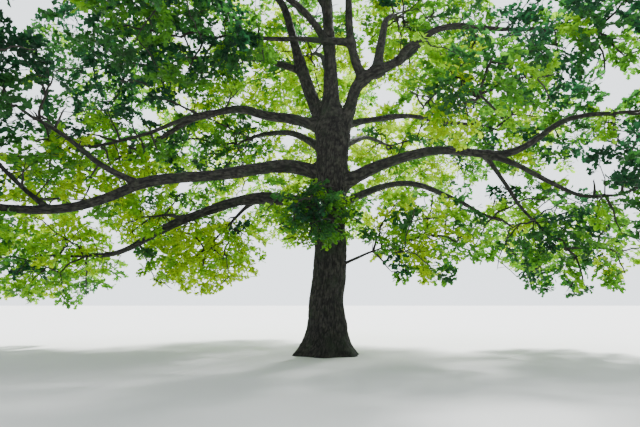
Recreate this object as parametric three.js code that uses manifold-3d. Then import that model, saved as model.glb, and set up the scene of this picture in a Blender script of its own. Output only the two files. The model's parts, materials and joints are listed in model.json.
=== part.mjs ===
// A mature, open-grown oak in spring leaf, about 30 m across and 20 m tall, in millimetres with +Z up.
// The origin is the middle of the flat cut under the trunk, at ground level. +Y points to the back of the tree.
// The trunk divides about eight metres up. Every bough is one tapering limb that follows its own headings and
// rises. Each bough ends in a mass of foliage: a stem with twigs, and leafy sprays fused to them by one rule.
import * as THREE from "three";
import { mergeVertices } from "three/addons/utils/BufferGeometryUtils.js";
import Module from "manifold-3d";

const wasm = await Module();
wasm.setup();

// Sizes that everything clears or repeats
const GAP = 0.3; // air left where one solid meets the next
const ROUTE_STEPS = 40; // short straight steps that make up the route of a limb
const UP = new THREE.Vector3(0, 0, 1);

// The trunk
const TRUNK = {
  height: 8500, // to the top of the fork
  sides: 16,
  rings: [0, 0.02, 0.05, 0.1, 0.18, 0.34, 0.55, 0.76, 0.88, 0.95, 1], // shares of the height
  radius: 550,
  lean: 275, // to the right, over the whole height
  flare: 290, // extra radius at the ground, which fades within flareHeight
  flareHeight: 480,
  swell: 190, // extra radius of the butt, which fades within swellHeight
  swellHeight: 1300,
  buttresses: [12, 74, 139, 196, 258, 322], // headings of the root buttresses
  buttressDepth: 0.34, // share of the flare that comes and goes between buttresses
  crotchSwell: 70, // extra radius where the boughs leave
  crotchHeight: 7600,
  crotchSpan: 1500,
  roundOff: 0.86, // share of the height above which the top draws in
  topRadius: 0.5, // share of the radius left at the very top
};

// Limbs: where each leaves its parent (a height on the trunk, or a share of another limb's length), its heading in
// plan (0 is right, 90 is back), how far that heading turns, the rises that it takes one after another in degrees,
// its length, its radius at the root and tip, and the spread of the mass of foliage that it ends in.
const LIMBS = {
  great_left_bough: { from: "trunk", at: 6000, heading: 195, turn: 6, length: 10800, root: 260, tip: 120,
    rises: [42, 8, -13, -13, -8, -12, -32, -20, -6, 4], spread: 3300 },
  great_left_riser: { from: "great_left_bough", at: 0.88, heading: 184, turn: 10, length: 2600, root: 80, tip: 50,
    rises: [38, 38, 46, 50], spread: 3000 },
  great_left_fork: { from: "great_left_bough", at: 0.62, heading: 214, turn: 12, length: 3400, root: 95, tip: 55,
    rises: [6, 26, 34, 18], spread: 3400 },
  low_left_bough: { from: "trunk", at: 5000, heading: 166, turn: -4, length: 10400, root: 270, tip: 100,
    rises: [22, 14, 6, -4, -14, -20, -24, -24, -14, 4], spread: 3500 },
  low_left_fork: { from: "low_left_bough", at: 0.26, heading: 148, turn: 0, length: 1700, root: 80, tip: 50,
    rises: [-10, -30, -40], spread: 3000 },
  low_left_spur: { from: "low_left_bough", at: 0.58, heading: 140, turn: -6, length: 1700, root: 75, tip: 50,
    rises: [16, 14, 6], spread: 2900 },
  upper_left_bough: { from: "trunk", at: 8000, heading: 176, turn: -4, length: 7300, root: 225, tip: 80,
    rises: [24, 19, 8, 22, -10, -12, -34, -26], spread: 3500 },
  upper_left_fork: { from: "upper_left_bough", at: 0.66, heading: 196, turn: 12, length: 4400, root: 100, tip: 55,
    rises: [-8, -30, -30, -24, -20], spread: 3200 },
  left_ascending_limb: { from: "trunk", at: 7700, heading: 150, turn: 12, length: 8950, root: 310, tip: 100,
    rises: [60, 66, 73, 76, 72, 50, 36], spread: 3900 },
  left_ascending_side: { from: "left_ascending_limb", at: 0.36, heading: 171, turn: -8, length: 5400, root: 125,
    tip: 60, rises: [28, 20, 12, 6, 2], spread: 4300 },
  leader: { from: "trunk", at: 7800, heading: 230, turn: 0, length: 8000, root: 350, tip: 110,
    rises: [88, 88, 86, 83], spread: 3900 },
  leader_back_bough: { from: "leader", at: 0.28, heading: 101, turn: 0, length: 5200, root: 150, tip: 65,
    rises: [56, 44, 34, 22], spread: 5600 },
  leader_left_bough: { from: "leader", at: 0.64, heading: 212, turn: 6, length: 5000, root: 130, tip: 65,
    rises: [48, 34, 24, 16], spread: 3800 },
  right_ascending_limb: { from: "trunk", at: 7350, heading: 350, turn: 0, length: 8800, root: 280, tip: 80,
    rises: [54, 70, 76, 22, 28, 50, 4, -15, -6], spread: 4000 },
  right_upright_limb: { from: "right_ascending_limb", at: 0.335, heading: 188, turn: 190, length: 7300, root: 170,
    tip: 80, rises: [63, 76, 88, 78, 62, 42], spread: 3900 },
  high_left_bough: { from: "right_upright_limb", at: 0.2, heading: 182, turn: 10, length: 3500, root: 130, tip: 65,
    rises: [8, 0, -4, -6], spread: 3800 },
  right_back_limb: { from: "right_ascending_limb", at: 0.4, heading: 66, turn: 0, length: 5300, root: 190, tip: 85,
    rises: [66, 68, 58, 42, 20], spread: 4600 },
  right_middle_bough: { from: "trunk", at: 8050, heading: 20, turn: 2, length: 6800, root: 140, tip: 65,
    rises: [28, 19, 12, 0, 2, 4], spread: 3700 },
  great_right_bough: { from: "trunk", at: 5700, heading: 351, turn: 2, length: 10500, root: 240, tip: 75,
    rises: [34, 26, 16, 14, -7, -12, 24, 40, 10, -6], spread: 3600 },
  great_right_drop: { from: "great_right_bough", at: 0.56, heading: 336, turn: -10, length: 3900, root: 105,
    tip: 55, rises: [-26, -32, -40, -32, 6], spread: 3500 },
  great_right_hanger: { from: "great_right_bough", at: 0.54, heading: 16, turn: 0, length: 3000, root: 85, tip: 50,
    rises: [-40, -56, -54, -40], spread: 2800 },
  low_right_bough: { from: "trunk", at: 5000, heading: 16, turn: 8, length: 7600, root: 155, tip: 65,
    rises: [34, 27, 20, 8, -16, -16, -24, -10], spread: 3600 },
  front_left_bough: { from: "leader", at: 0.44, heading: 232, turn: -4, length: 7400, root: 150, tip: 70,
    rises: [38, 14, -6, -12, -8], spread: 4100 },
  front_right_bough: { from: "right_ascending_limb", at: 0.5, heading: 281, turn: 6, length: 4600, root: 120,
    tip: 60, rises: [12, -12, -36, -52, -54], spread: 2500 },
  front_high_bough: { from: "leader", at: 0.5, heading: 266, turn: 4, length: 6400, root: 140, tip: 65,
    rises: [38, 16, 0, -10], spread: 4400 },
  back_left_bough: { from: "trunk", at: 7000, heading: 130, turn: 4, length: 6000, root: 190, tip: 75,
    rises: [42, 34, 22, 10, 0], spread: 4900 },
  back_bough: { from: "trunk", at: 6000, heading: 92, turn: 6, length: 6400, root: 190, tip: 75,
    rises: [48, 36, 22, 8, 2, 0], spread: 5100 },
  back_right_bough: { from: "trunk", at: 6600, heading: 66, turn: -6, length: 6300, root: 190, tip: 75,
    rises: [46, 38, 26, 14, 4], spread: 4800 },
  low_right_shoot: { from: "trunk", at: 2900, heading: 340, turn: 0, length: 1700, root: 55, tip: 35,
    rises: [14, 24, 18], spread: 2500 },
};

// Tufts of foliage that grow straight out of the trunk.
const TUFTS = {
  trunk_tuft: { height: 4350, heading: 254, rise: 6, radius: 40, spread: 1900 },
};

// What all limbs share
const LIMB = {
  thick: 180, // root radius from which a limb is seven-sided
  thickSides: 7,
  thinSides: 6,
  ringEvery: 1500, // about this far from ring to ring
  collar: 0.32, // how much it swells at its root, fading within collarReach
  collarReach: 900,
  sway: 5, // degrees that its heading and rise wander
  waves: 2.3, // wanderings along its length
};

// Foliage. Each mass is grown towards targets spread evenly through its space: the first few by twigs, and the rest
// by leafy sprays. Sizes given as shares are shares of the spread of the mass.
const MASS = {
  flatness: 1.45, // width of a mass over its depth
  reachIn: 0.74, // how far past the tip of its bough the middle of a mass lies
  wallAir: 80, // air on each side of the wall between two masses
  limbAir: 40, // air between foliage and any limb
  ownBough: 700, // stretch at the tip of its own bough that the foliage may come close to
  balance: 0.35, // how much a shoot prefers to leave near the foot of the stem
};
const STEM = {
  reach: 0.8,
  steps: 3,
  sunk: 40, // how far back in its bough it starts, before it is cut clear of it
  slimmer: 0.8, // its radius there over the radius of the bough's tip
  tip: 44,
};
const TWIG = {
  most: 4, // twigs of a mass
  tries: 12, // targets tried for them
  reach: 0.62,
  shortest: 700,
  root: 52,
  tip: 30,
  arch: 0.09, // how far its middle is lifted, over its length
  nodes: 8, // places along it where a shoot may leave
};
const SPRAY = {
  most: 14, // sprays of a mass with the usual spread
  usualSpread: 4100,
  tries: 90, // targets tried for them
  reach: 0.9,
  aim: 0.6, // share of its length at which a spray meets its target
  shortest: 1300,
  longest: 2900,
  width: 0.76, // over its length
  thickness: 0.05, // over its length
  widest: 0.56, // share of its length at which it is widest
  tipWidth: 0.42, // width of its blunt tip over its width
  tilt: 38, // most degrees that it leans out of the level
  trims: [1, 0.8, 0.64], // sizes tried before a spray is skipped
};

// Steps of a sequence that fills a cube evenly: powers of the root of x^4 = x + 1.
const EVEN = 1.2207440846;

// A repeatable stream of numbers from 0 to 1.
function dice(seed) {
  let state = seed;
  return () => {
    state = (state * 16807) % 2147483647;
    return state / 2147483647;
  };
}

// A seed that depends only on a name.
function seedOf(name) {
  let seed = 7;
  for (const letter of name) seed = (seed * 31 + letter.charCodeAt(0)) % 1000003;
  return seed + 1;
}

const radians = THREE.MathUtils.degToRad;

// The value at share s of a list whose values are spread evenly.
function along(values, s) {
  const place = Math.min(Math.max(s, 0), 1) * (values.length - 1);
  const i = Math.min(Math.floor(place), values.length - 2);
  return values[i] + (values[i + 1] - values[i]) * (place - i);
}

// The middle of the trunk at a height: it leans more in its lower half.
function trunkMiddle(height) {
  const s = height / TRUNK.height;
  return new THREE.Vector3(TRUNK.lean * (1.6 * s - 0.6 * s * s), 0, height);
}

// The trunk's radius at a height and a heading: taper, butt swell, buttresses and the swelling under the fork.
function trunkRadius(height, heading) {
  let ridge = 0;
  for (const b of TRUNK.buttresses) ridge = Math.max(ridge, Math.cos(heading - radians(b)) ** 9);
  const flare = TRUNK.flare * Math.exp(-height / TRUNK.flareHeight);
  const swell = TRUNK.swell * Math.exp(-height / TRUNK.swellHeight);
  const crotch = TRUNK.crotchSwell * Math.exp(-(((height - TRUNK.crotchHeight) / TRUNK.crotchSpan) ** 2));
  const lobes = 1 - TRUNK.buttressDepth + 2 * TRUNK.buttressDepth * ridge;
  const s = height / TRUNK.height;
  const over = Math.max(0, (s - TRUNK.roundOff) / (1 - TRUNK.roundOff));
  const top = 1 - (1 - TRUNK.topRadius) * over * over;
  return (TRUNK.radius + flare * lobes + swell + crotch) * top;
}

// The route of a limb, as points and their headings, walked in short steps from its parent.
function walk(name, routes) {
  const row = LIMBS[name];
  const roll = dice(seedOf(name));
  const phase = [roll() * 2 * Math.PI, roll() * 2 * Math.PI];
  const start = row.from === "trunk" ? trunkMiddle(row.at) : pointOn(routes[row.from], row.at);
  const points = [start];
  const step = row.length / ROUTE_STEPS;
  for (let i = 0; i < ROUTE_STEPS; i++) {
    const s = (i + 0.5) / ROUTE_STEPS;
    const wave = 2 * Math.PI * LIMB.waves * s;
    const sway = LIMB.sway * Math.sin(Math.PI * s);
    const heading = radians(row.heading + row.turn * s + sway * Math.sin(wave + phase[0]));
    const rise = radians(along(row.rises, s) + 0.5 * sway * Math.sin(wave + phase[1]));
    const ahead = new THREE.Vector3(
      Math.cos(heading) * Math.cos(rise),
      Math.sin(heading) * Math.cos(rise),
      Math.sin(rise),
    );
    points.push(points[i].clone().addScaledVector(ahead, step));
  }
  return { name, row, points };
}

// The point at share s of a route.
function pointOn(route, s) {
  const place = s * ROUTE_STEPS;
  const i = Math.min(Math.floor(place), ROUTE_STEPS - 1);
  return route.points[i].clone().lerp(route.points[i + 1], place - i);
}

// The radius of a limb at share s of its route: an even taper, and a collar that swells into its parent.
function limbRadius(row, s) {
  const collar = LIMB.collar * Math.exp(-(s * row.length) / LIMB.collarReach);
  return (row.root + (row.tip - row.root) * s ** 0.9) * (1 + collar);
}

// A closed tube: a unit cylinder bent onto points, with its own radius at each. The first side vector is carried
// along, so that the tube doesn't twist.
function tube(points, radii, sides) {
  const rings = points.length - 1;
  const geometry = new THREE.CylinderGeometry(1, 1, 1, sides, rings);
  const frames = [];
  let side = new THREE.Vector3(0.31, 0.83, 0.47);
  for (let i = 0; i <= rings; i++) {
    const ahead = points[Math.min(i + 1, rings)].clone().sub(points[Math.max(i - 1, 0)]).normalize();
    side = side.clone().addScaledVector(ahead, -side.dot(ahead)).normalize();
    frames.push([side, ahead.clone().cross(side)]);
  }
  const position = geometry.getAttribute("position");
  for (let v = 0; v < position.count; v++) {
    const i = Math.round((position.getY(v) + 0.5) * rings);
    const [a, b] = frames[i];
    const placed = points[i]
      .clone()
      .addScaledVector(a, position.getZ(v) * radii[i])
      .addScaledVector(b, position.getX(v) * radii[i]);
    position.setXYZ(v, placed.x, placed.y, placed.z);
  }
  return geometry;
}

// A closed geometry as a solid to join and cut.
function solid(geometry) {
  geometry.deleteAttribute("normal");
  geometry.deleteAttribute("uv");
  const merged = mergeVertices(geometry, 1e-3);
  return new wasm.Manifold(
    new wasm.Mesh({
      numProp: 3,
      vertProperties: merged.getAttribute("position").array,
      triVerts: new Uint32Array(merged.index.array),
    }),
  );
}

// The largest piece of a solid. Loose scraps are dropped.
function largest(made) {
  const pieces = made.decompose();
  return pieces.reduce((best, piece) => (piece.volume() > best.volume() ? piece : best));
}

// The trunk, grown by extra all round.
function trunkSolid(extra) {
  const geometry = new THREE.CylinderGeometry(1, 1, 1, TRUNK.sides, TRUNK.rings.length - 1);
  const position = geometry.getAttribute("position");
  for (let v = 0; v < position.count; v++) {
    const i = Math.round((position.getY(v) + 0.5) * (TRUNK.rings.length - 1));
    const height = TRUNK.rings[i] * TRUNK.height;
    const heading = Math.atan2(-position.getZ(v), position.getX(v));
    const middle = trunkMiddle(height);
    const reach = Math.hypot(position.getX(v), position.getZ(v)) * (trunkRadius(height, heading) + extra);
    const lift = i === TRUNK.rings.length - 1 ? extra : 0;
    position.setXYZ(v, middle.x + reach * Math.cos(heading), middle.y + reach * Math.sin(heading), height + lift);
  }
  return solid(geometry);
}

// A limb, grown by extra all round.
function limbSolid(route, extra) {
  const { row } = route;
  const rings = Math.max(3, Math.round(row.length / LIMB.ringEvery));
  const points = [];
  const radii = [];
  for (let i = 0; i <= rings; i++) {
    points.push(pointOn(route, i / rings));
    radii.push(limbRadius(row, i / rings) + extra);
  }
  if (extra > 0) {
    const ahead = points[rings].clone().sub(points[rings - 1]).normalize();
    points[rings].addScaledVector(ahead, extra);
  }
  return solid(tube(points, radii, row.root >= LIMB.thick ? LIMB.thickSides : LIMB.thinSides));
}

// The space of a mass whose stem starts at foot inside its carrier: a flattened ball that the foot just enters.
function spaceOf(name, carrier, foot, ahead, radius, spread) {
  const middle = foot.clone().addScaledVector(ahead, MASS.reachIn * spread);
  middle.z = foot.z + (middle.z - foot.z) / MASS.flatness;
  return { name, carrier, spread, middle, foot, ahead, radius };
}

// The space at the end of a limb.
function limbSpace(route) {
  const { name, row, points } = route;
  const ahead = points[ROUTE_STEPS].clone().sub(points[ROUTE_STEPS - 2]).normalize();
  const foot = points[ROUTE_STEPS].clone().addScaledVector(ahead, -STEM.sunk);
  const mass = name.replace(/_(bough|limb)$/, "");
  return spaceOf(mass, name, foot, ahead, STEM.slimmer * row.tip, row.spread);
}

// The space of a tuft.
function tuftSpace(name) {
  const { height, heading, rise, radius, spread } = TUFTS[name];
  const out = new THREE.Vector3(Math.cos(radians(heading)), Math.sin(radians(heading)), Math.tan(radians(rise)));
  const foot = trunkMiddle(height).addScaledVector(out, TRUNK.radius - STEM.sunk);
  return spaceOf(name, "trunk", foot, out.normalize(), radius, spread);
}

// How far a point is out of a space, as a power distance in which every mass is equally flat.
function outOf(space, point) {
  const dx = point.x - space.middle.x;
  const dy = point.y - space.middle.y;
  const dz = (point.z - space.middle.z) * MASS.flatness;
  return dx * dx + dy * dy + dz * dz - space.spread * space.spread;
}

// True if a point lies in the space, on its own side of the wall to every other mass.
function owns(space, spaces, point) {
  const own = outOf(space, point);
  if (own > 0) return false;
  return spaces.every((other) => {
    if (other === space) return true;
    const apart = space.middle.distanceTo(other.middle) * MASS.flatness;
    return own < outOf(other, point) - 2 * MASS.wallAir * apart;
  });
}

// True if a straight stretch of foliage, this thick, is clear of every limb and of the trunk.
function clearOfWood(a, b, radius, wood) {
  const steps = Math.max(2, Math.ceil(a.distanceTo(b) / 150));
  for (let i = 0; i <= steps; i++) {
    const p = a.clone().lerp(b, i / steps);
    for (const { point, reach } of wood) {
      if (p.distanceTo(point) < reach + radius + MASS.limbAir) return false;
    }
  }
  return true;
}

// Every limb and the trunk as balls along their routes, for keeping foliage clear of them.
function woodPoints(routes) {
  const wood = [];
  for (let h = 0; h <= TRUNK.height; h += 250) {
    wood.push({ name: "trunk", point: trunkMiddle(h), reach: trunkRadius(h, 0) + 150 });
  }
  for (const route of Object.values(routes)) {
    for (let i = 0; i <= ROUTE_STEPS; i++) {
      const spacing = route.row.length / ROUTE_STEPS / 2;
      wood.push({
        name: route.name,
        point: route.points[i],
        reach: Math.hypot(limbRadius(route.row, i / ROUTE_STEPS), spacing),
      });
    }
  }
  return wood;
}

// The target number k of a space, as a point spread evenly through a ball of this share of its spread.
function target(space, start, k, reach) {
  const [u, v, w] = start.map((offset, axis) => (offset + k / EVEN ** (axis + 1)) % 1);
  const height = 2 * u - 1;
  const level = Math.sqrt(1 - height * height);
  const out = reach(w) * space.spread;
  return new THREE.Vector3(
    level * Math.cos(2 * Math.PI * v),
    level * Math.sin(2 * Math.PI * v),
    height / MASS.flatness,
  )
    .multiplyScalar(out)
    .add(space.middle);
}

// The node that a shoot to this target leaves from: near to it, and not far from the foot of the stem.
function leaveFrom(nodes, goal) {
  const cost = (node) => node.point.distanceTo(goal) + MASS.balance * node.path;
  return nodes.reduce((best, node) => (cost(node) < cost(best) ? node : best));
}

// Adds the places where later shoots may leave a shoot, each with its radius and its distance from the foot.
function addNodes(nodes, points, radii, path) {
  let gone = path;
  for (let i = 0; i < points.length - 1; i++) {
    const length = points[i].distanceTo(points[i + 1]);
    const count = Math.ceil(TWIG.nodes / (points.length - 1));
    for (let k = 1; k <= count; k++) {
      const s = (k - 0.4) / count;
      nodes.push({
        point: points[i].clone().lerp(points[i + 1], s),
        radius: radii[i] + (radii[i + 1] - radii[i]) * s,
        path: gone + s * length,
      });
    }
    gone += length;
  }
}

// The corners of a spray that isn't crowned yet: a blunt five-sided outline from its root to its tip.
function sprayCorners(root, ahead, across, length) {
  const half = (SPRAY.width * length) / 2;
  const at = (run, out) => root.clone().addScaledVector(ahead, run * length).addScaledVector(across, out * half);
  return [at(0, 0), at(SPRAY.widest, 1), at(1, SPRAY.tipWidth), at(1, -SPRAY.tipWidth), at(SPRAY.widest, -1)];
}

// A leafy spray: a thin plate of that outline, flat below and crowned above.
function spraySolid(corners, face, thickness) {
  const middle = corners[1].clone().lerp(corners[4], 0.5).addScaledVector(face, thickness);
  const points = [...corners, middle].flatMap((p) => [p.x, p.y, p.z]);
  const top = corners.flatMap((_, i) => [5, (i + 1) % corners.length, i]);
  const below = [0, 1, 4, 1, 2, 4, 2, 3, 4];
  const geometry = new THREE.BufferGeometry();
  geometry.setAttribute("position", new THREE.BufferAttribute(new Float32Array(points), 3));
  geometry.setIndex([...top, ...below]);
  return solid(geometry);
}

// True if a flat spray is clear of the wood near it.
function sprayClear(root, ahead, across, face, length, wood) {
  const half = (SPRAY.width * length) / 2;
  return wood.every(({ point, reach }) => {
    const offset = point.clone().sub(root);
    const air = reach + MASS.limbAir;
    if (Math.abs(offset.dot(face)) > SPRAY.thickness * length + air) return true;
    const run = offset.dot(ahead);
    if (run < -air || run > length + air) return true;
    return Math.abs(offset.dot(across)) > half + air;
  });
}

// The stem of a mass: it carries its bough on and bends towards the middle of the space.
function growStem(space, spaces, wood) {
  const points = [space.foot];
  const step = (STEM.reach * space.spread) / STEM.steps;
  for (let i = 0; i < STEM.steps; i++) {
    const inward = space.middle.clone().sub(points[i]);
    const ahead = space.ahead.clone().multiplyScalar(space.spread * 0.8).add(inward).normalize();
    const next = points[i].clone().addScaledVector(ahead, step);
    const fits = owns(space, spaces, next) && clearOfWood(points[i], next, STEM.tip, wood);
    if (i > 1 && !fits) break;
    points.push(next);
  }
  const last = points.length - 1;
  const radii = points.map((_, i) => space.radius + (STEM.tip - space.radius) * (i / last));
  return { points, radii };
}

// One mass of foliage, as a solid that is cut clear of what carries it.
function growMass(space, spaces, allWood, carrier) {
  const roll = dice(seedOf(space.name));
  const start = [roll(), roll(), roll()];
  const wood = allWood.filter(({ name, point, reach }) => {
    const own = name === space.carrier && point.distanceTo(space.foot) < MASS.ownBough;
    return !own && point.distanceTo(space.middle) < space.spread + reach + MASS.ownBough;
  });

  const stem = growStem(space, spaces, wood);
  const shoots = [solid(tube(stem.points, stem.radii, 3))];
  const nodes = [];
  addNodes(nodes, stem.points, stem.radii, 0);

  let twigs = 0;
  for (let k = 0; k < TWIG.tries && twigs < TWIG.most; k++) {
    const end = target(space, start, k, () => TWIG.reach);
    const node = leaveFrom(nodes, end);
    const length = node.point.distanceTo(end);
    const bend = node.point.clone().lerp(end, 0.5).addScaledVector(UP, TWIG.arch * length);
    const inSpace = owns(space, spaces, bend) && owns(space, spaces, end);
    const clear = clearOfWood(node.point, bend, TWIG.root, wood) && clearOfWood(bend, end, TWIG.root, wood);
    if (length < TWIG.shortest || !inSpace || !clear) continue;
    const points = [node.point, bend, end];
    const root = Math.min(TWIG.root, node.radius);
    const radii = [root, (root + TWIG.tip) / 2, TWIG.tip];
    shoots.push(solid(tube(points, radii, 3)));
    addNodes(nodes, points, radii, node.path);
    twigs += 1;
  }

  const sprays = [];
  const most = Math.round((SPRAY.most * space.spread) / SPRAY.usualSpread);
  for (let k = 0; k < SPRAY.tries && sprays.length < most; k++) {
    const goal = target(space, start, TWIG.tries + k, (w) => SPRAY.reach * Math.cbrt(w));
    const lean = radians((roll() * 2 - 1) * SPRAY.tilt);
    const node = leaveFrom(nodes, goal);
    const ahead = goal.clone().sub(node.point).normalize();
    const across = UP.clone().cross(ahead);
    if (across.length() < 0.3) across.copy(ahead).cross(space.ahead);
    across.normalize().applyAxisAngle(ahead, lean);
    const face = ahead.clone().cross(across);
    const wanted = node.point.distanceTo(goal) / SPRAY.aim;
    const full = Math.min(Math.max(wanted, SPRAY.shortest), SPRAY.longest);
    for (const trim of SPRAY.trims) {
      const length = full * trim;
      if (length < SPRAY.shortest * 0.75) break;
      const corners = sprayCorners(node.point, ahead, across, length);
      if (!corners.slice(1).every((corner) => owns(space, spaces, corner))) continue;
      if (!sprayClear(node.point, ahead, across, face, length, wood)) continue;
      const made = spraySolid(corners, face, SPRAY.thickness * length);
      const meets = [...shoots, ...sprays].filter((other) => !other.intersect(made).isEmpty());
      if (meets.length !== 1 || sprays.includes(meets[0])) continue;
      sprays.push(made);
      break;
    }
  }
  return largest(wasm.Manifold.union([...shoots, ...sprays]).subtract(carrier));
}

const bark = new THREE.MeshStandardMaterial({ name: "bark", color: 0x4a4038, roughness: 0.95, metalness: 0 });
const leaf = new THREE.MeshStandardMaterial({ name: "leaf", color: 0x6f9a2c, roughness: 0.65, metalness: 0 });

const oak = new THREE.Group();

// Adds a solid to the tree as a mesh of its own.
function add(name, made, material) {
  const mesh = made.getMesh();
  const geometry = new THREE.BufferGeometry();
  geometry.setAttribute("position", new THREE.BufferAttribute(new Float32Array(mesh.vertProperties), 3));
  geometry.setIndex(new THREE.BufferAttribute(new Uint32Array(mesh.triVerts), 1));
  geometry.computeVertexNormals();
  const part = new THREE.Mesh(geometry, material);
  part.name = name;
  oak.add(part);
}

// The trunk and limbs: each limb is cut clear of the trunk and of every limb before it.
const routes = {};
for (const name of Object.keys(LIMBS)) routes[name] = walk(name, routes);
add("trunk", trunkSolid(0), bark);
const cutters = { trunk: trunkSolid(GAP) };
for (const route of Object.values(routes)) {
  const whole = limbSolid(route, 0);
  const cut = Object.values(cutters).reduce((left, cutter) => left.subtract(cutter), whole);
  add(route.name, largest(cut), bark);
  cutters[route.name] = limbSolid(route, GAP);
}

// The masses of foliage, one at the end of each limb, and the tufts.
const wood = woodPoints(routes);
const spaces = [...Object.values(routes).map(limbSpace), ...Object.keys(TUFTS).map(tuftSpace)];
for (const space of spaces) {
  add(space.name + "_foliage", growMass(space, spaces, wood, cutters[space.carrier]), leaf);
}

export default oak;
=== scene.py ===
"""A mature, open-grown oak in full early-summer leaf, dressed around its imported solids.

Everything is in metres, with +Z up and +Y to the back. The trunk and limbs are swept along the same routes as
the solids, melted into each other where they meet, and given the relief of oak bark. The foliage grows on
from the limbs by the same rule as the solids' masses, carried on to finer twigs and single leaves.
"""

import json
import math
from dataclasses import dataclass
from types import SimpleNamespace

import bpy
import numpy as np
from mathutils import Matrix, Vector

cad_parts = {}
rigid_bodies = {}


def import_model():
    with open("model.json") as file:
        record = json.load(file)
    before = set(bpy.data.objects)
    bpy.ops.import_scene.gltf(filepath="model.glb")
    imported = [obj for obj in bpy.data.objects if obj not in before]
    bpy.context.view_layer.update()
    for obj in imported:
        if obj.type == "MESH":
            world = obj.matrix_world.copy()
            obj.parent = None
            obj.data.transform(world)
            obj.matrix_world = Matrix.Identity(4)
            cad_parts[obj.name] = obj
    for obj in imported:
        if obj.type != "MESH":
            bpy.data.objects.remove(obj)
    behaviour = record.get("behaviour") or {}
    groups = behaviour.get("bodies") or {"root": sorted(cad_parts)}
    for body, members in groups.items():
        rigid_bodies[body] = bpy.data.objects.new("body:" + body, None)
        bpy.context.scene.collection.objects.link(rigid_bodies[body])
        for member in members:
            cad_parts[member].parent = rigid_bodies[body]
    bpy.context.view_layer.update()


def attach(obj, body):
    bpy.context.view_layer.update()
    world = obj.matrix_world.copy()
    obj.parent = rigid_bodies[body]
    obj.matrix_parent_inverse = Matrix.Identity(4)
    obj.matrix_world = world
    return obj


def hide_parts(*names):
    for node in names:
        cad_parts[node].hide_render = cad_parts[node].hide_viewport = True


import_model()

UP = np.array([0.0, 0.0, 1.0])
ODD_WAY = (0.31, 0.83, 0.47)  # a way that no shoot takes, to start side vectors from
ROUTE_STEPS = 40  # short straight steps that make up the route of a limb

# The trunk
TRUNK = SimpleNamespace(
    height=8.5,  # to the top of the fork
    radius=0.55,
    lean=0.275,  # to the right, over the whole height
    flare=0.29,  # extra radius at the ground, which fades within flare_height
    flare_height=0.48,
    swell=0.19,  # extra radius of the butt, which fades within swell_height
    swell_height=1.3,
    buttresses=(12, 74, 139, 196, 258, 322),  # headings of the root buttresses
    buttress_depth=0.34,  # share of the flare that comes and goes between buttresses
    buttress_sharpness=9,
    crotch_swell=0.07,  # extra radius where the boughs leave
    crotch_height=7.6,
    crotch_span=1.5,
    round_off=0.86,  # share of the height above which the top draws in
    top_radius=0.5,  # share of the radius left at the very top
    bare_height=2.6,  # no shoots leave it under this height
    shoot_air=0.15,  # air that foliage keeps from it
    ball_step=0.25,  # between the balls that stand for it there
)

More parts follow.
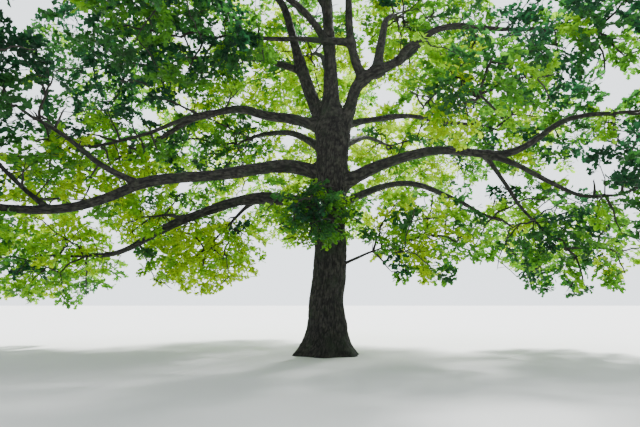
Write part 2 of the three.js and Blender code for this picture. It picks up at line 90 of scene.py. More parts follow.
# Limbs: what each leaves, where (a height on the trunk, or a share of another limb's length), its heading in
# plan (0 is right, 90 is back), how far that heading turns, its length, its radius at the root and tip, the
# spread of the mass of foliage that it ends in, and the rises that it takes one after another in degrees.
LIMBS = {
    "great_left_bough": ("trunk", 6.0, 195, 6, 10.8, 0.26, 0.12, 3.3,
        (42, 8, -13, -13, -8, -12, -32, -20, -6, 4)),
    "great_left_riser": ("great_left_bough", 0.88, 184, 10, 2.6, 0.08, 0.05, 3.0, (38, 38, 46, 50)),
    "great_left_fork": ("great_left_bough", 0.62, 214, 12, 3.4, 0.095, 0.055, 3.4, (6, 26, 34, 18)),
    "low_left_bough": ("trunk", 5.0, 166, -4, 10.4, 0.27, 0.1, 3.5,
        (22, 14, 6, -4, -14, -20, -24, -24, -14, 4)),
    "low_left_fork": ("low_left_bough", 0.26, 148, 0, 1.7, 0.08, 0.05, 3.0, (-10, -30, -40)),
    "low_left_spur": ("low_left_bough", 0.58, 140, -6, 1.7, 0.075, 0.05, 2.9, (16, 14, 6)),
    "upper_left_bough": ("trunk", 8.0, 176, -4, 7.3, 0.225, 0.08, 3.5, (24, 19, 8, 22, -10, -12, -34, -26)),
    "upper_left_fork": ("upper_left_bough", 0.66, 196, 12, 4.4, 0.1, 0.055, 3.2, (-8, -30, -30, -24, -20)),
    "left_ascending_limb": ("trunk", 7.7, 150, 12, 8.95, 0.31, 0.1, 3.9, (60, 66, 73, 76, 72, 50, 36)),
    "left_ascending_side": ("left_ascending_limb", 0.36, 171, -8, 5.4, 0.125, 0.06, 4.3, (28, 20, 12, 6, 2)),
    "leader": ("trunk", 7.8, 230, 0, 8.0, 0.35, 0.11, 3.9, (88, 88, 86, 83)),
    "leader_back_bough": ("leader", 0.28, 101, 0, 5.2, 0.15, 0.065, 5.6, (56, 44, 34, 22)),
    "leader_left_bough": ("leader", 0.64, 212, 6, 5.0, 0.13, 0.065, 3.8, (48, 34, 24, 16)),
    "right_ascending_limb": ("trunk", 7.35, 350, 0, 8.8, 0.28, 0.08, 4.0,
        (54, 70, 76, 22, 28, 50, 4, -15, -6)),
    "right_upright_limb": ("right_ascending_limb", 0.335, 188, 190, 7.3, 0.17, 0.08, 3.9,
        (63, 76, 88, 78, 62, 42)),
    "high_left_bough": ("right_upright_limb", 0.2, 182, 10, 3.5, 0.13, 0.065, 3.8, (8, 0, -4, -6)),
    "right_back_limb": ("right_ascending_limb", 0.4, 66, 0, 5.3, 0.19, 0.085, 4.6, (66, 68, 58, 42, 20)),
    "right_middle_bough": ("trunk", 8.05, 20, 2, 6.8, 0.14, 0.065, 3.7, (28, 19, 12, 0, 2, 4)),
    "great_right_bough": ("trunk", 5.7, 351, 2, 10.5, 0.24, 0.075, 3.6,
        (34, 26, 16, 14, -7, -12, 24, 40, 10, -6)),
    "great_right_drop": ("great_right_bough", 0.56, 336, -10, 3.9, 0.105, 0.055, 3.5,
        (-26, -32, -40, -32, 6)),
    "great_right_hanger": ("great_right_bough", 0.54, 16, 0, 3.0, 0.085, 0.05, 2.8, (-40, -56, -54, -40)),
    "low_right_bough": ("trunk", 5.0, 16, 8, 7.6, 0.155, 0.065, 3.6, (34, 27, 20, 8, -16, -16, -24, -10)),
    "front_left_bough": ("leader", 0.44, 232, -4, 7.4, 0.15, 0.07, 4.1, (38, 14, -6, -12, -8)),
    "front_right_bough": ("right_ascending_limb", 0.5, 281, 6, 4.6, 0.12, 0.06, 2.5,
        (12, -12, -36, -52, -54)),
    "front_high_bough": ("leader", 0.5, 266, 4, 6.4, 0.14, 0.065, 4.4, (38, 16, 0, -10)),
    "back_left_bough": ("trunk", 7.0, 130, 4, 6.0, 0.19, 0.075, 4.9, (42, 34, 22, 10, 0)),
    "back_bough": ("trunk", 6.0, 92, 6, 6.4, 0.19, 0.075, 5.1, (48, 36, 22, 8, 2, 0)),
    "back_right_bough": ("trunk", 6.6, 66, -6, 6.3, 0.19, 0.075, 4.8, (46, 38, 26, 14, 4)),
    "low_right_shoot": ("trunk", 2.9, 340, 0, 1.7, 0.055, 0.035, 2.5, (14, 24, 18)),
}

# Tufts of foliage that grow straight out of the trunk.
TUFTS = {
    "trunk_tuft": {"height": 4.35, "heading": 254, "rise": 6, "radius": 0.04, "spread": 1.9},
}

LIMB = SimpleNamespace(
    taper=0.9,  # under 1, so that it slims sooner near its root
    collar=0.32,  # how much a limb swells at its root, fading within collar_reach
    collar_reach=0.9,
    sway=5,  # degrees that its heading wanders
    rise_sway=0.5,  # how much its rise wanders, over that
    waves=2.3,  # wanderings along its length
)

# Foliage. Each mass is grown towards targets spread evenly through its space, as in the solids.
MASS = SimpleNamespace(
    flatness=1.45,  # width of a mass over its depth
    reach_in=0.74,  # how far past the tip of its bough the middle of a mass lies, over its spread
    wall_air=0.08,  # air on each side of the wall between two masses
    limb_air=0.04,  # air between foliage and any limb
    own_bough=0.7,  # stretch at the tip of its own bough that the foliage may come close to
    check_step=0.15,  # between places along a shoot at which it is kept clear of limbs
    balance=0.35,  # how much a shoot prefers to leave near the foot of the stem
    overhang=0.31,  # how far leaves may reach out of a spray
)
STEM = SimpleNamespace(
    reach=0.8,
    onward=0.8,  # how much it keeps the way of its bough, rather than turn to the middle
    steps=3,
    sunk=0.04,  # how far back in its bough it starts
    slimmer=0.8,  # its radius there over the radius of the bough's tip
    tip=0.044,
    grid=(12, 8),  # rings and sides of its mesh
)
TWIG = SimpleNamespace(
    most=4,
    tries=12,
    reach=0.62,
    shortest=0.7,
    root=0.052,
    tip=0.03,
    arch=0.09,  # how far its middle is lifted, over its length
    nodes=8,  # places along any shoot where another may leave
    end=0.25,  # share of its radius left at the very end
    jog=0.027,  # over its length
    grid=(8, 5),
)
# Lesser twigs, which the solids leave out, start from those or from a limb that passes through the mass.
LESSER = SimpleNamespace(
    most=16,
    tries=72,
    reach=0.84,
    shortest=0.7,
    root=0.048,
    tip=0.016,
    arch=0.07,
)
# A spray is a shoot that reaches past its target and carries leafy side twigs on its outer part, all near one
# plane.
SPRAY = SimpleNamespace(
    tries=117,  # targets tried in a mass of the usual spread; others go by the square of their spread
    usual_spread=3.8,
    fewest=90,  # targets tried in a small mass
    reach=0.9,
    aim=0.6,  # share of the leafy part at which the spray meets its target
    shortest=1.0,  # of the leafy part
    longest=1.65,
    most_of_mass=0.55,  # longest, over the spread of its mass
    width=0.8,  # over its length
    widest=0.5,
    tip_width=0.42,
    tilt=38,  # most degrees that it leans out of the level
    upright=0.3,  # a shoot with less level run than this share leans out of the way of its bough instead
    trims=(1, 0.8, 0.64),
    side_twigs=7,
    arch=0.07,
    wander=0.05,  # how far its middle strays, over its length
    joints=(0, 0.33, 0.7, 1),  # shares of its length where it bends
    root=0.022,
    slimmer=0.75,  # most of its root, over what it leaves
    tip=0.004,
    sides=3,
)
SIDE_TWIG = SimpleNamespace(
    reach_back=0.92,  # share of the leafy part along which they leave
    uneven=0.05,
    fan=(38, 62),  # degrees off the way of the shoot
    lift=0.16,  # how far they stray out of the plane
    longer=(0.8, 1.1),
    base=0.55,  # least and added length, over half the width of the spray
    bulge=0.55,
    wave=(0.15, 0.9),  # from where to where in half a wave the bulge runs
    radius=0.006,
)
# Fuller and thinner masses: how many times the usual number of sprays they have.
FULLNESS = {
    "low_left": 1.5,
    "low_left_fork": 1.4,
    "low_left_spur": 1.2,
    "great_left": 1.4,
    "front_right": 0.75,
}
LEAF = SimpleNamespace(
    length=0.268,
    small_mass=0.5,  # how much smaller the leaves of a small mass are: the power of its size
    on_side_twig=6,
    first=0.7,  # where the first one stands on its side twig, over the steps between them
    uneven=0.08,
    at_end=0.93,  # share of the side twig past which a leaf points onward
    end_spread=0.3,
    at_tip=5,
    tip_turn=2.4,  # from each leaf at the tip of a spray to the following one
    tip_onward=0.75,
    tip_depth=0.5,
    fold=0.09 / 0.34,  # how far its edge stands above the midrib, over how far it stands out
    sizes=(0.72, 1.15),
    spread=(25, 75),  # degrees off the way of the side twig
    droop=0.18,
    faces=(0.4, 0.35),  # how much they face the way of the spray, and straight up
    flutter=0.55,  # how much they turn out of that
    # one half of the outline: base, lobe, notch, lobe and tip
    outline=((0.0, 0.0), (0.38, 0.26), (0.52, 0.16), (0.78, 0.32), (1.0, 0.0)),
)

# Steps of a sequence that fills a cube evenly: powers of the root of x^4 = x + 1.
EVEN = 1.2207440846

# Bark
BARK = SimpleNamespace(
    trunk_sides=190,
    trunk_ring=0.055,
    quad=0.037,  # about this wide round a limb
    ring=0.068,
    sides=(11, 56),  # of a limb, fewest and most
    fewest_rings=8,
    plate_width=0.07,
    plate_length=0.46,
    furrow=0.3,  # width of a furrow, over that of a plate
    depth=0.034,  # of the furrows of the trunk
    thin_depth=0.075,  # of the furrows of a limb, over its radius
    lump=0.11,  # slow swellings, over the radius
    lump_size=(0.55, 0.55, 0.9),
    warp=0.6,  # how far plates bend, over their size
    warp_waves=0.6,  # bends for each plate
    rough=0.22,  # of the plates' faces, over the depth of the furrows
    rough_waves=2.6,
    melt=1.1,  # how wide a limb melts into its parent, over its root radius
    melt_passes=4,
    hidden=0.35,  # what lies this deep in a neighbour is out of sight, over the width of the melt
    beside=1.3,  # limbs of one parent that start this close melt into each other too
)


def dice(seed):
    """A repeatable stream of numbers from 0 to 1."""
    state = seed
    while True:
        state = (state * 16807) % 2147483647
        yield state / 2147483647


def seed_of(name):
    """A seed that depends only on a name."""
    seed = 7
    for letter in name:
        seed = (seed * 31 + ord(letter)) % 1000003
    return seed + 1


def unit(vectors):
    """The same ways, each one long."""
    return vectors / np.maximum(np.linalg.norm(vectors, axis=-1, keepdims=True), 1e-9)


def full_turn(count):
    """Angles spread evenly round a circle."""
    return np.arange(count) * 2 * np.pi / count


def around(side, across, turns):
    """Ways out of a middle line, at these angles round it."""
    return side[..., None, :] * np.cos(turns)[:, None] + across[..., None, :] * np.sin(turns)[:, None]


def heading_way(yaw, pitch):
    """A way given by its angle in plan and its rise."""
    return np.array([math.cos(yaw) * math.cos(pitch), math.sin(yaw) * math.cos(pitch), math.sin(pitch)])


def along(values, share):
    """The value or point at a share of a list whose items are spread evenly."""
    values = np.asarray(values, float)
    steps = np.linspace(0, 1, len(values))
    if values.ndim == 1:
        return np.interp(share, steps, values)
    return np.stack([np.interp(share, steps, column) for column in values.T], -1)


# Routes of the trunk and limbs, as in the solids


def trunk_middle(height):
    """The middle of the trunk at a height: it leans more in its lower half."""
    height = np.asarray(height, float)
    s = height / TRUNK.height
    return np.stack([TRUNK.lean * (1.6 * s - 0.6 * s * s), np.zeros_like(s), height], -1)


def trunk_radius(height, heading):
    """Taper, butt swell, buttresses and the swelling under the fork."""
    near = [np.cos(heading - math.radians(middle)) for middle in TRUNK.buttresses]
    ridge = np.maximum(np.max(near, axis=0) ** TRUNK.buttress_sharpness, 0)
    flare = TRUNK.flare * np.exp(-height / TRUNK.flare_height)
    swell = TRUNK.swell * np.exp(-height / TRUNK.swell_height)
    off_crotch = (height - TRUNK.crotch_height) / TRUNK.crotch_span
    crotch = TRUNK.crotch_swell * np.exp(-(off_crotch ** 2))
    lobes = 1 + TRUNK.buttress_depth * (2 * ridge - 1)
    over = np.maximum(0, (height / TRUNK.height - TRUNK.round_off) / (1 - TRUNK.round_off))
    top = 1 - (1 - TRUNK.top_radius) * over * over
    return (TRUNK.radius + flare * lobes + swell + crotch) * top


@dataclass
class Limb:
    name: str
    parent: str
    length: float
    root: float
    tip: float
    spread: float
    points: np.ndarray

    def radius(self, share):
        """An even taper, and a collar that swells into the parent."""
        collar = LIMB.collar * np.exp(-share * self.length / LIMB.collar_reach)
        return (self.root + (self.tip - self.root) * share ** LIMB.taper) * (1 + collar)


def walk(name, limbs):
    """The route of a limb, walked in short steps from its parent."""
    parent, at, heading, turn, length, root, tip, spread, rises = LIMBS[name]
    roll = dice(seed_of(name))
    phase = [next(roll) * 2 * math.pi, next(roll) * 2 * math.pi]
    points = [trunk_middle(at) if parent == "trunk" else along(limbs[parent].points, at)]
    for i in range(ROUTE_STEPS):
        s = (i + 0.5) / ROUTE_STEPS
        wave = 2 * math.pi * LIMB.waves * s
        sway = LIMB.sway * math.sin(math.pi * s)
        yaw = math.radians(heading + turn * s + sway * math.sin(wave + phase[0]))
        rise = math.radians(along(rises, s) + LIMB.rise_sway * sway * math.sin(wave + phase[1]))
        points.append(points[-1] + heading_way(yaw, rise) * length / ROUTE_STEPS)
    return Limb(name, parent, length, root, tip, spread, np.array(points))


# Spaces of the masses


@dataclass
class Space:
    name: str
    carrier: str
    foot: np.ndarray
    ahead: np.ndarray
    radius: float
    spread: float

    def __post_init__(self):
        self.middle = self.foot + self.ahead * MASS.reach_in * self.spread
        self.middle[2] = self.foot[2] + (self.middle[2] - self.foot[2]) / MASS.flatness


def limb_space(limb):
    """The space at the end of a limb."""
    ahead = unit(limb.points[-1] - limb.points[-3])
    foot = limb.points[-1] - ahead * STEM.sunk
    name = limb.name.removesuffix("_bough").removesuffix("_limb")
    return Space(name, limb.name, foot, ahead, STEM.slimmer * limb.tip, limb.spread)


def tuft_space(name):
    """The space of a tuft on the trunk."""
    row = TUFTS[name]
    heading = math.radians(row["heading"])
    out = np.array([math.cos(heading), math.sin(heading), math.tan(math.radians(row["rise"]))])
    foot = trunk_middle(row["height"]) + out * (TRUNK.radius - STEM.sunk)
    return Space(name, "trunk", foot, unit(out), row["radius"], row["spread"])


class Crown:
    """The spaces of all masses, and the wood that foliage keeps clear of."""

    def __init__(self, limbs):
        self.spaces = [limb_space(limb) for limb in limbs.values()] + [tuft_space(name) for name in TUFTS]
        self.middles = np.array([space.middle for space in self.spaces])
        self.spreads = np.array([space.spread for space in self.spaces])
        heights = np.arange(0, TRUNK.height, TRUNK.ball_step)
        reach = trunk_radius(heights, 0.0) + TRUNK.shoot_air
        balls = [(trunk_middle(heights), reach, ["trunk"] * len(heights))]
        for limb in limbs.values():
            shares = np.linspace(0, 1, ROUTE_STEPS + 1)
            reach = np.hypot(limb.radius(shares), limb.length / ROUTE_STEPS / 2)
            balls.append((limb.points, reach, [limb.name] * len(shares)))
        self.wood, self.reach, self.names = [np.concatenate(column) for column in zip(*balls)]

    def owns(self, space, points, overhang=0.0):
        """Whether all points lie this deep in the space, on its side of the walls to other masses."""
        mine = self.spaces.index(space)
        offset = (np.atleast_2d(points)[:, None] - self.middles) * (1, 1, MASS.flatness)
        out = (offset ** 2).sum(-1) - self.spreads ** 2
        apart = np.linalg.norm(self.middles - space.middle, axis=1) * MASS.flatness
        walls = out - 2 * MASS.wall_air * apart
        walls[:, mine] = np.inf
        own = out[:, mine]
        edge = -2 * overhang * space.spread
        return bool(np.all(own <= edge) and np.all(own < walls.min(1)))

    def wood_near(self, space):
        """The wood near a space, apart from the end of its own bough."""
        own = np.linalg.norm(self.wood - space.foot, axis=1) < MASS.own_bough
        own &= self.names == space.carrier
        away = np.linalg.norm(self.wood - space.middle, axis=1)
        keep = ~own & (away <= space.spread + self.reach + MASS.own_bough)
        return self.wood[keep], self.reach[keep] + MASS.limb_air

    def wood_in(self, space):
        """The limbs inside a space, from which its foliage may grow too."""
        offset = (self.wood - space.middle) * (1, 1, MASS.flatness)
        inside = np.linalg.norm(offset, axis=1) < space.spread
        inside &= (self.names != "trunk") | (self.wood[:, 2] > TRUNK.bare_height)
        return self.wood[inside], self.reach[inside] + MASS.limb_air


def clear_of_wood(points, radius, wood, sunk=0.0):
    """Whether a line this thick is clear of the wood once it is this far from its start."""
    middles, reach = wood
    if not len(middles):
        return True
    line = []
    for a, b in zip(points[:-1], points[1:]):
        steps = max(2, math.ceil(np.linalg.norm(b - a) / MASS.check_step))
        line.append(a + (b - a) * np.linspace(0, 1, steps + 1)[:, None])
    line = np.concatenate(line)
    line = line[np.linalg.norm(line - points[0], axis=1) >= sunk]
    gaps = np.linalg.norm(line[:, None] - middles, axis=-1)
    return bool(np.all(gaps >= reach + radius))


def target(space, start, k, reach):
    """Target number k of a space, spread evenly through a ball of this share of its spread."""
    u, v, w = [(offset + k / EVEN ** (axis + 1)) % 1 for axis, offset in enumerate(start)]
    height = 2 * u - 1
    level = math.sqrt(1 - height * height)
    turn = 2 * math.pi * v
    ball = np.array([level * math.cos(turn), level * math.sin(turn), height / MASS.flatness])
    return ball * reach(w) * space.spread + space.middle


class Nodes:
    """Places where later shoots may leave.

    Each has its radius, its distance from the foot of the stem, and how deep it is sunk in a limb.
    """

    def __init__(self):
        self.rows = np.empty((0, 6))

    def gather(self, points, *values):
        """Adds a row for each of these points."""
        self.rows = np.concatenate([self.rows, np.column_stack([points, *values])])

    def add(self, points, radii, gone):
        """Adds places along a shoot that starts this far from the foot of the stem."""
        for a, b, first, last in zip(points[:-1], points[1:], radii[:-1], radii[1:]):
            length = np.linalg.norm(b - a)
            count = math.ceil(TWIG.nodes / (len(points) - 1))
            s = (np.arange(1, count + 1) - 0.4) / count
            places = a + (b - a) * s[:, None]
            self.gather(places, first + (last - first) * s, gone + s * length, np.zeros(count))
            gone += length

    def add_limbs(self, points, reach):
        """Adds places on the limbs, given as balls of wood."""
        self.gather(points, np.full(len(points), LESSER.root), np.zeros(len(points)), 2 * reach)

    def leave(self, goal):
        """The node that a shoot to this target leaves: near to it, and not far from the foot of the stem."""
        away = np.linalg.norm(self.rows[:, :3] - goal, axis=1)
        best = self.rows[np.argmin(away + MASS.balance * self.rows[:, 4])]
        return best[:3], *best[3:]


def grow_stem(space, crown, wood):
    """The stem of a mass: it carries its bough on and bends towards the middle of the space."""
    points = [space.foot]
    step = STEM.reach * space.spread / STEM.steps
    for i in range(STEM.steps):
        ahead = unit(space.ahead * space.spread * STEM.onward + space.middle - points[-1])
        following = points[-1] + ahead * step
        fits = crown.owns(space, following) and clear_of_wood([points[-1], following], STEM.tip, wood)
        if i > 1 and not fits:
            break
        points.append(following)
    return np.array(points), np.linspace(space.radius, STEM.tip, len(points))


def grow_twigs(space, crown, wood, start, nodes, kind):
    """The main or lesser twigs of a mass, each bent upwards in its middle."""
    twigs = []
    for k in range(kind.tries):
        if len(twigs) == kind.most:
            break
        end = target(space, start, k, lambda w: kind.reach)
        foot, thick, path, sunk = nodes.leave(end)
        length = np.linalg.norm(end - foot)
        bend = (foot + end) / 2 + UP * kind.arch * length
        if length < kind.shortest or not crown.owns(space, np.array([bend, end])):
            continue
        if not clear_of_wood([foot, bend, end], kind.root, wood, sunk):
            continue
        points = np.array([foot, bend, end])
        root = min(kind.root, thick)
        radii = np.array([root, (root + kind.tip) / 2, kind.tip])
        nodes.add(points, radii, path)
        twigs.append((points, radii))
    return twigs


@dataclass
class Spray:
    rib: np.ndarray  # points of the shoot, from where it leaves to its tip
    radii: np.ndarray
    ahead: np.ndarray
    across: np.ndarray
    face: np.ndarray
    length: float  # of the leafy part
    leaf: float  # usual length of its leaves


def spray_corners(leafy, ahead, across, length):
    """The corners of the leafy part, apart from the one where it begins."""
    half = SPRAY.width * length / 2
    widest, tip_width = SPRAY.widest, SPRAY.tip_width
    outline = ((widest, 1), (1, tip_width), (1, -tip_width), (widest, -1))
    return np.array([leafy + ahead * run * length + across * out * half for run, out in outline])


def spray_sides(space, ahead, lean):
    """The way across a spray and the way that it faces, when it leans this far out of the level."""
    level = np.cross(UP, ahead)
    if np.linalg.norm(level) < SPRAY.upright:
        level = np.cross(ahead, space.ahead)
    level = unit(level)
    across = level * math.cos(lean) + np.cross(ahead, level) * math.sin(lean)
    return across, np.cross(ahead, across)


def spray_rib(foot, tip, stray):
    """The shoot of a spray: arched upwards, and straying to one side and then to the other."""
    whole = np.linalg.norm(tip - foot)
    shares = np.array(SPRAY.joints)[:, None]
    rib = foot + (tip - foot) * shares
    rib = rib + UP * SPRAY.arch * whole * np.sin(np.pi * shares)
    return rib + stray * SPRAY.wander * whole * np.sin(2 * np.pi * shares)


def grow_sprays(space, crown, wood, start, roll, nodes):
    """Leafy shoots to the following targets, each leaving a twig or an earlier shoot."""
    sprays = []
    size = space.spread / SPRAY.usual_spread
    tries = round(max(SPRAY.fewest, SPRAY.tries * size ** 2) * FULLNESS.get(space.name, 1))
    leaf = LEAF.length * min(1, size ** LEAF.small_mass)
    for k in range(tries):
        goal = target(space, start, TWIG.tries + k, lambda w: SPRAY.reach * w ** (1 / 3))
        lean = math.radians((next(roll) * 2 - 1) * SPRAY.tilt)
        strays = [next(roll) * 2 - 1, next(roll) * 2 - 1]
        foot, thick, path, sunk = nodes.leave(goal)
        apart = np.linalg.norm(goal - foot)
        ahead = (goal - foot) / apart
        across, face = spray_sides(space, ahead, lean)
        full = min(max(apart, SPRAY.shortest), SPRAY.longest, SPRAY.most_of_mass * space.spread)
        for trim in SPRAY.trims:
            length = full * trim
            leafy = goal - ahead * SPRAY.aim * length
            tip = leafy + ahead * length
            corners = spray_corners(leafy, ahead, across, length)
            if not crown.owns(space, np.concatenate([corners, goal[None]]), MASS.overhang):
                continue
            if not clear_of_wood([foot, goal, tip], SPRAY.root, wood, sunk):
                continue
            if not clear_of_wood([corners[3], leafy, *corners], 0.0, wood):
                continue
            rib = spray_rib(foot, tip, across * strays[0] + face * strays[1])
            root = min(SPRAY.slimmer * thick, SPRAY.root * (1 + np.linalg.norm(tip - foot)) / 2)
            radii = np.linspace(root, SPRAY.tip, len(rib))
            nodes.add(rib[:3], radii[:3], path)
            sprays.append(Spray(rib, radii, ahead, across, face, length, leaf))
            break
    return sprays


def grow_mass(space, crown):
    """One mass: its stem, its main twigs and its sprays."""
    roll = dice(seed_of(space.name))
    start = [next(roll), next(roll), next(roll)]
    wood = crown.wood_near(space)
    nodes = Nodes()
    stem = grow_stem(space, crown, wood)
    nodes.add(*stem, 0)
    twigs = grow_twigs(space, crown, wood, start, nodes, TWIG)
    nodes.add_limbs(*crown.wood_in(space))
    lesser_start = [next(roll), next(roll), next(roll)]
    twigs += grow_twigs(space, crown, wood, lesser_start, nodes, LESSER)
    return stem, twigs, grow_sprays(space, crown, wood, start, roll, nodes)


# Meshes from arrays


class Shape:
    """Vertices and faces gathered from arrays, for one mesh."""

    def __init__(self):
        self.vertices = []
        self.faces = []
        self.count = 0

    def add(self, vertices, *faces):
        """Adds vertices, and groups of faces that count them from 0."""
        self.vertices.append(vertices.reshape(-1, 3))
        for group in faces:
            self.faces.append(group.reshape(-1, group.shape[-1]) + self.count)
        self.count += self.vertices[-1].shape[0]

    def build(self, name, look, smooth):
        """The mesh, as a piece in the scene."""
        vertices = np.concatenate(self.vertices)
        sizes = np.concatenate([np.full(len(group), group.shape[1]) for group in self.faces])
        corners = np.concatenate([group.ravel() for group in self.faces])
        mesh = bpy.data.meshes.new(name)
        mesh.vertices.add(len(vertices))
        mesh.vertices.foreach_set("co", vertices.astype(np.float32).ravel())
        mesh.loops.add(len(corners))
        mesh.loops.foreach_set("vertex_index", corners.astype(np.int32))
        mesh.polygons.add(len(sizes))
        mesh.polygons.foreach_set("loop_start", np.concatenate([[0], np.cumsum(sizes)[:-1]]).astype(np.int32))
        mesh.polygons.foreach_set("use_smooth", np.full(len(sizes), smooth))
        mesh.update(calc_edges=True)
        mesh.materials.append(look)
        piece = bpy.data.objects.new(name, mesh)
        bpy.context.scene.collection.objects.link(piece)
        print(name, "has", int((sizes - 2).sum()), "triangles")
        return piece


def frames_along(points):
    """Side vectors carried along many routes at once, so that the tubes don't twist."""
    ahead = unit(np.gradient(points, axis=1))
    side = np.empty_like(points)
    carried = np.broadcast_to(ODD_WAY, points[:, 0].shape)
    for i in range(points.shape[1]):
        carried = unit(carried - ahead[:, i] * (carried * ahead[:, i]).sum(-1, keepdims=True))
        side[:, i] = carried
    return side, np.cross(ahead, side)


def tube_faces(tubes, rings, sides):
    """Quads round many tubes, and a cap at each of their ends."""
    first = np.arange(tubes)[:, None, None] * rings * sides
    ring = np.arange(rings - 1)[None, :, None] * sides
    here = np.arange(sides)[None, None, :]
    there = (here + 1) % sides
    quads = np.stack([first + ring + here, first + ring + there, first + ring + sides + there,
                      first + ring + sides + here], -1)
    roots = first[:, 0] + np.arange(sides)[::-1]
    tips = first[:, 0] + (rings - 1) * sides + np.arange(sides)
    return quads, roots, tips


def sweep(shape, points, radii, sides):
    """Adds tubes along many routes: points is (tubes, rings, 3) and radii is (tubes, rings)."""
    side, across = frames_along(points)
    out = around(side, across, full_turn(sides))
    shape.add(points[:, :, None] + out * radii[:, :, None, None], *tube_faces(*points.shape[:2], sides))


def spikes(shape, roots, tips, radius):
    """Adds slim three-sided spikes, closed at the root."""
    ahead = unit(tips - roots)
    side = unit(np.cross(ahead, ODD_WAY))
    ring = roots[:, None] + radius * around(side, np.cross(ahead, side), full_turn(3))
    vertices = np.concatenate([ring, tips[:, None]], 1)
    pattern = np.array([[0, 1, 3], [1, 2, 3], [2, 0, 3], [2, 1, 0]])
    shape.add(vertices, np.arange(len(roots))[:, None, None] * 4 + pattern)


def smoothed(points, radii, rings):
    """A route with more rings, rounded where it bends and drawn in at the end."""
    shares = np.linspace(0, 1, rings)
    rounded = along(points, shares)
    for _ in range(2):
        rounded[1:-1] = (rounded[:-2] + 2 * rounded[1:-1] + rounded[2:]) / 4
    thick = along(radii, shares)
    thick[-1] *= TWIG.end
    return rounded, thick


# Bark


def hashed(cells, salt):
    """Repeatable numbers from 0 to 1, one for each cell of whole numbers."""
    mixed = cells.astype(np.int64) * (73856093, 19349663, 83492791)
    number = (mixed[..., 0] ^ mixed[..., 1] ^ mixed[..., 2]) + salt * 668265263
    number = (number ^ (number >> 13)) * 1274126177
    return ((number ^ (number >> 16)) & 0xFFFFFF) / 0xFFFFFF


def soft_noise(places, salt):
    """Smooth noise from -1 to 1."""
    cell = np.floor(places).astype(np.int64)
    part = places - cell
    part = part * part * (3 - 2 * part)
    total = np.zeros(len(places))
    for corner in np.ndindex(2, 2, 2):
        weight = np.prod(np.where(corner, part, 1 - part), axis=-1)
        total += weight * hashed(cell + corner, salt)
    return total * 2 - 1


def plates(places, salt):
    """How far each place is from the furrows between bark plates: 0 in a furrow, and 1 on a plate."""
    cell = np.floor(places).astype(np.int64)
    nearest = np.full((2, len(places)), 9.0)
    for offset in np.ndindex(3, 3, 3):
        block = cell + offset - 1
        spot = block + np.stack([hashed(block, salt + axis) for axis in range(3)], -1)
        away = np.linalg.norm(spot - places, axis=-1)
        nearest[1] = np.minimum(nearest[1], np.maximum(nearest[0], away))
        nearest[0] = np.minimum(nearest[0], away)
    share = np.clip((nearest[1] - nearest[0]) / BARK.furrow, 0, 1)
    return share * share * (3 - 2 * share)


def bark_relief(rounds, radius, salt):
    """The relief of bark at places on a limb that is laid straight along the third axis."""
    lumps = soft_noise(rounds / BARK.lump_size, salt) * BARK.lump * radius
    places = rounds / (BARK.plate_width, BARK.plate_width, BARK.plate_length)
    bends = [soft_noise(places * BARK.warp_waves + 17 * axis, salt + axis) for axis in range(3)]
    height = plates(places + np.stack(bends, -1) * BARK.warp, salt)
    rough = soft_noise(places * BARK.rough_waves, salt + 5)
    depth = np.minimum(BARK.depth, BARK.thin_depth * radius)
    return lumps + depth * (height - 1 + BARK.rough * rough), height


def trunk_distance(points):
    """How far points are out of the trunk, and the way out."""
    height = np.clip(points[:, 2], 0, TRUNK.height)
    offset = points - trunk_middle(height)
    away = np.linalg.norm(offset, axis=1)
    return away - trunk_radius(height, np.arctan2(offset[:, 1], offset[:, 0])), unit(offset)


def limb_distance(limb, points):
    """How far points are out of a limb, and the way out."""
    starts = limb.points[:-1]
    steps = np.diff(limb.points, axis=0)
    share = ((points[:, None] - starts) * steps).sum(-1) / (steps ** 2).sum(-1)
    share = np.clip(share, 0, 1)
    offset = points[:, None] - (starts + steps * share[..., None])
    away = np.linalg.norm(offset, axis=-1)
    rows = np.arange(len(points))
    best = away.argmin(1)
    place = (best + share[rows, best]) / ROUTE_STEPS
    return away[rows, best] - limb.radius(place), unit(offset[rows, best])


def distance_to(name, limbs, points):
    """How far points are out of the trunk or a limb, and the way out."""
    return trunk_distance(points) if name == "trunk" else limb_distance(limbs[name], points)


def melt_width(one, other, limbs):
    """How wide two limbs melt into each other: by the slimmer of their roots."""
    roots = [limbs[name].root for name in (one, other) if name != "trunk"]
    return BARK.melt * min(roots)


def start_together(limb, other):
    """Whether two limbs leave their parent side by side."""
    return np.linalg.norm(limb.points[0] - other.points[0]) < BARK.beside


def neighbours(name, limbs):
    """What a limb grows from, what grows from it and what grows beside it."""
    parent = limbs[name].parent if name != "trunk" else None
    near = [parent] if parent else []
    for other in limbs.values():
        beside = other.parent == parent and start_together(limbs[name], other)
        if other.name != name and (other.parent == name or beside):
            near.append(other.name)
    return near


def melted(name, limbs, vertices):
    """Vertices of a limb's surface, moved onto the surface that it shares with its neighbours.

    Those that lie well inside a neighbour stay there, out of sight.
    """
    made = vertices.copy()
    near = neighbours(name, limbs)
    fields = {other: distance_to(other, limbs, made)[0] for other in near}
    widths = {other: melt_width(name, other, limbs) for other in near}
    close = np.any([np.abs(fields[other]) < widths[other] for other in near], axis=0)
    hidden = np.any([fields[other] < -BARK.hidden * widths[other] for other in near], axis=0)
    moved = np.flatnonzero(close & ~hidden)
    points = made[moved]
    if not len(moved):
        return made
    for _ in range(BARK.melt_passes):
        total, way = distance_to(name, limbs, points)
        for other in near:
            there, there_way = distance_to(other, limbs, points)
            mix = np.clip(0.5 + 0.5 * (there - total) / widths[other], 0, 1)
            way = there_way + (way - there_way) * mix[:, None]
            total = there + (total - there) * mix - widths[other] * mix * (1 - mix)
        steepness = np.maximum((way ** 2).sum(-1), 0.25)
        points = points - way * (total / steepness)[:, None]
    made[moved] = points
    return made


